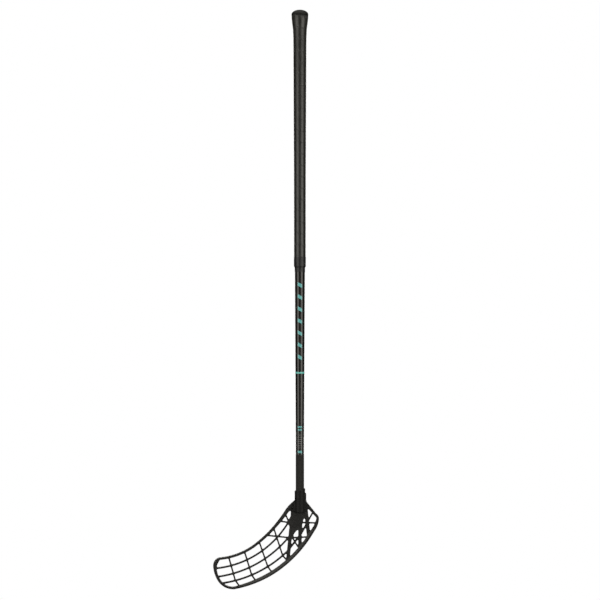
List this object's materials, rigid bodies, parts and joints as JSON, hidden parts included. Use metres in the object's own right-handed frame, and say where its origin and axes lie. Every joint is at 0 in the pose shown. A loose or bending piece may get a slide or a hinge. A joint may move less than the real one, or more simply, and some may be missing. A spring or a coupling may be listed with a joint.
{
  "type": "floorball stick",
  "caption": "Long tapered composite shaft with a wound cushioned grip and domed end cap, and a hooked, ribbed plastic blade screwed to its foot for playing a light ball.",
  "frame": {"origin": "on the shaft's axis, half way along the hand hold", "axes": "+Z along the shaft to the end cap, toe of the blade towards -X, hook of the blade towards +Y"},
  "size_m": [0.2124, 0.0393, 1.1601],
  "materials": {
    "shaft": "black composite under clear lacquer, matt near the foot",
    "cap": "dark grey, satin",
    "foam": "closed foam, hidden",
    "grip": "dark olive grey cushioned strip, satin",
    "end_tape": "dark grey tape",
    "stripe": "pale teal foil",
    "blade": "black moulded plastic, fine grain",
    "screw": "dark steel"
  },
  "bodies": {
    "stick": {"shaft_tube": "shaft", "end_cap": "cap", "knob_sleeve": "foam", "grip_tape": "grip", "grip_end_tape": "end_tape", "stripe_ring": "stripe", "blade": "blade"},
    "screw": {"blade_screw": "screw"}
  },
  "joints": [
    {"name": "blade_screw_turn", "type": "hinge", "parent": "stick", "child": "screw", "pos_m": [0.0105, 0, -0.7154], "axis": [1, 0, 0], "continuous": true}
  ]
}
